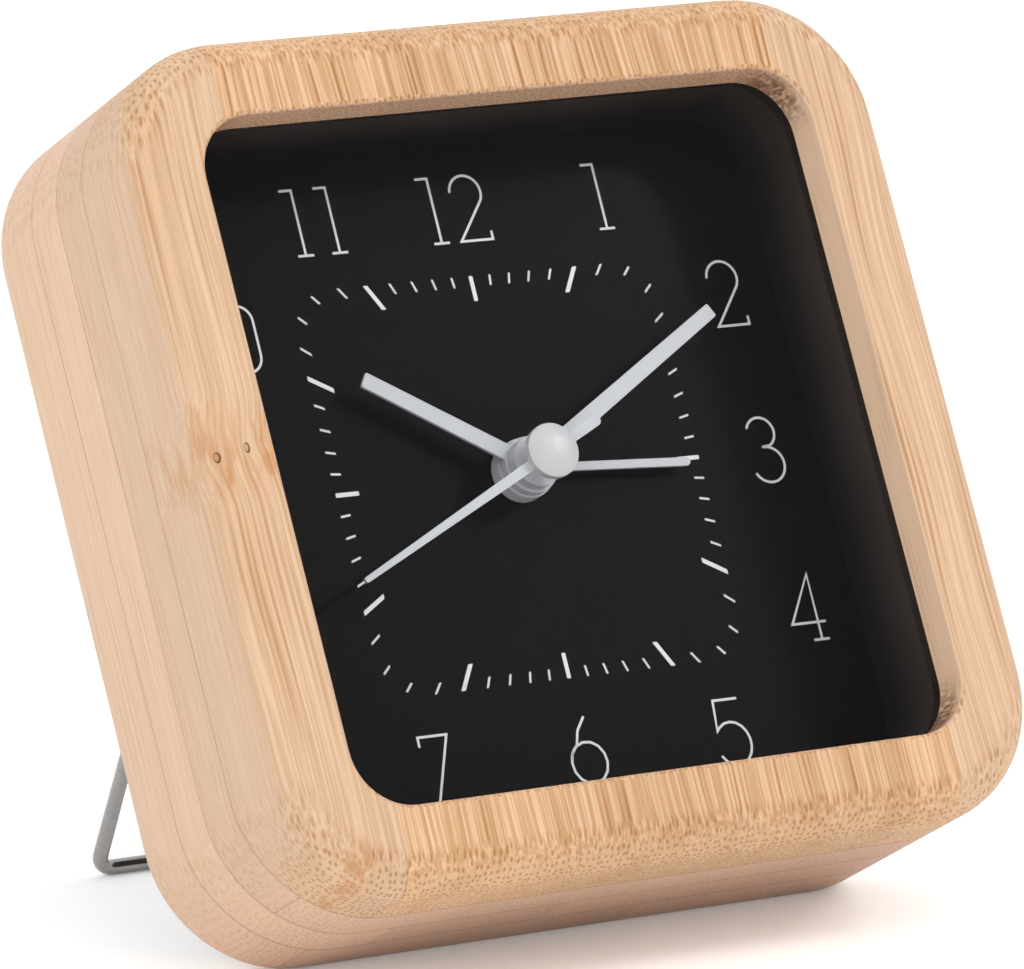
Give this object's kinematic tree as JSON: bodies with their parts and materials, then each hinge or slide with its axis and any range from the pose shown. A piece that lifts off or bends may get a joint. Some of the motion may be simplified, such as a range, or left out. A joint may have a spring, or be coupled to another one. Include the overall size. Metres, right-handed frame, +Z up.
{
  "type": "alarm clock",
  "caption": "Square bamboo alarm clock with a recessed black dial, hour, minute, second and alarm hands, rear setting knobs, alarm switch and battery door, leaning on a folding wire stand.",
  "frame": {"origin": "on the table under the middle of the clock's box", "axes": "+X to the right of the dial, +Y from the dial to the rear, +Z up; the dial leans back from the vertical"},
  "size_m": [0.095, 0.0752, 0.0973],
  "materials": {
    "bamboo": "satin lacquer",
    "black_plastic": "fine texture",
    "board": "phenolic board",
    "brass": "turned",
    "cap_grey": "satin",
    "cell_label": "printed sleeve",
    "chip": "moulded",
    "copper": "enamelled wire",
    "dial_black": "gloss black with printed marks",
    "frame_plastic": "moulded",
    "gear_plastic": "moulded",
    "hand_grey": "satin",
    "lens": "clear",
    "magnet": "sintered",
    "steel": "plain",
    "steel_wire": "bright nickel plate"
  },
  "bodies": {
    "clock_case": {"alarm_switch_body": "frame_plastic", "bamboo_case": "bamboo", "battery_cell": "cell_label", "buzzer": "frame_plastic", "buzzer_strip_left": "brass", "buzzer_strip_right": "brass", "circuit_board": "board", "coil_bobbin": "frame_plastic", "coil_core": "steel", "coil_winding": "copper", "control_chip": "chip", "cover_screws": "steel", "dial_lens": "lens", "dial_plate": "dial_black", "inner_bezel": "black_plastic", "middle_plate": "frame_plastic", "movement_back": "frame_plastic", "movement_carrier": "frame_plastic", "negative_contact": "steel", "negative_strip": "brass", "positive_contact": "steel", "positive_strip": "brass", "quartz_crystal": "steel", "rear_cover": "black_plastic", "stator": "steel"},
    "wire_stand": {"wire_stand": "steel_wire"},
    "battery_door": {"battery_door": "black_plastic"},
    "alarm_switch": {"alarm_switch_slider": "gear_plastic"},
    "second_hand": {"second_hand": "hand_grey", "second_hand_cap": "cap_grey", "second_wheel": "gear_plastic"},
    "step_wheel": {"step_wheel": "gear_plastic"},
    "rotor": {"rotor_pinion": "gear_plastic", "rotor_magnet": "magnet"},
    "third_wheel": {"third_wheel": "gear_plastic"},
    "centre_wheel": {"centre_wheel": "gear_plastic"},
    "minute_hand": {"minute_hand": "hand_grey", "cannon_pinion": "brass"},
    "works_wheel": {"works_wheel": "gear_plastic"},
    "hour_hand": {"hour_hand": "hand_grey", "hour_wheel": "gear_plastic"},
    "time_knob": {"time_set_knob": "black_plastic", "time_set_shaft": "gear_plastic"},
    "alarm_hand": {"alarm_hand": "hand_grey", "alarm_wheel": "gear_plastic"},
    "alarm_knob": {"alarm_set_knob": "black_plastic", "alarm_set_shaft": "gear_plastic"}
  },
  "joints": [
    {"name": "stand_fold", "type": "hinge", "parent": "clock_case", "child": "wire_stand", "pos_m": [0, 0.0157, 0.043], "axis": [1, 0, 0], "range_deg": [-54, 0]},
    {"name": "door_lift", "type": "slide", "parent": "clock_case", "child": "battery_door", "axis": [0, 0.887, -0.4617], "range_m": [0, 0.012]},
    {"name": "alarm_on_off", "type": "slide", "parent": "clock_case", "child": "alarm_switch", "axis": [1, 0, 0], "range_m": [0, 0.003]},
    {"name": "second_turn", "type": "hinge", "parent": "clock_case", "child": "second_hand", "pos_m": [0, -0.00253, 0.04911], "axis": [0, 0.887, -0.4617], "continuous": true},
    {"name": "step_turn", "type": "hinge", "parent": "clock_case", "child": "step_wheel", "pos_m": [0.00743, -0.00413, 0.04603], "axis": [0, 0.887, -0.4617], "continuous": true},
    {"name": "rotor_turn", "type": "hinge", "parent": "clock_case", "child": "rotor", "pos_m": [0.01275, -0.0037, 0.04687], "axis": [0, 0.887, -0.4617], "continuous": true},
    {"name": "third_turn", "type": "hinge", "parent": "clock_case", "child": "third_wheel", "pos_m": [-0.00782, -0.0035, 0.04725], "axis": [0, 0.887, -0.4617], "continuous": true},
    {"name": "centre_turn", "type": "hinge", "parent": "clock_case", "child": "centre_wheel", "pos_m": [0, -0.00253, 0.04911], "axis": [0, 0.887, -0.4617], "continuous": true},
    {"name": "minute_turn", "type": "hinge", "parent": "clock_case", "child": "minute_hand", "pos_m": [0, -0.00253, 0.04911], "axis": [0, 0.887, -0.4617], "continuous": true},
    {"name": "works_turn", "type": "hinge", "parent": "clock_case", "child": "works_wheel", "pos_m": [-0.00424, -0.00057, 0.05287], "axis": [0, 0.887, -0.4617], "continuous": true},
    {"name": "hour_turn", "type": "hinge", "parent": "clock_case", "child": "hour_hand", "pos_m": [0, -0.00253, 0.04911], "axis": [0, 0.887, -0.4617], "continuous": true},
    {"name": "time_set_turn", "type": "hinge", "parent": "clock_case", "child": "time_knob", "pos_m": [-0.00849, 0.00138, 0.05663], "axis": [0, 0.887, -0.4617], "continuous": true},
    {"name": "alarm_turn", "type": "hinge", "parent": "clock_case", "child": "alarm_hand", "pos_m": [0, -0.00253, 0.04911], "axis": [0, 0.887, -0.4617], "continuous": true},
    {"name": "alarm_set_turn", "type": "hinge", "parent": "clock_case", "child": "alarm_knob", "pos_m": [0.00849, 0.00138, 0.05663], "axis": [0, 0.887, -0.4617], "continuous": true}
  ],
  "couplings": [
    {"joint": "third_turn", "follows": "second_turn", "ratio": -0.125},
    {"joint": "centre_turn", "follows": "second_turn", "ratio": 0.016667},
    {"joint": "step_turn", "follows": "second_turn", "ratio": -6},
    {"joint": "rotor_turn", "follows": "second_turn", "ratio": 30},
    {"joint": "works_turn", "follows": "minute_turn", "ratio": -0.33333},
    {"joint": "hour_turn", "follows": "minute_turn", "ratio": 0.083333},
    {"joint": "time_set_turn", "follows": "minute_turn", "ratio": 1},
    {"joint": "alarm_set_turn", "follows": "alarm_turn", "ratio": -2}
  ]
}
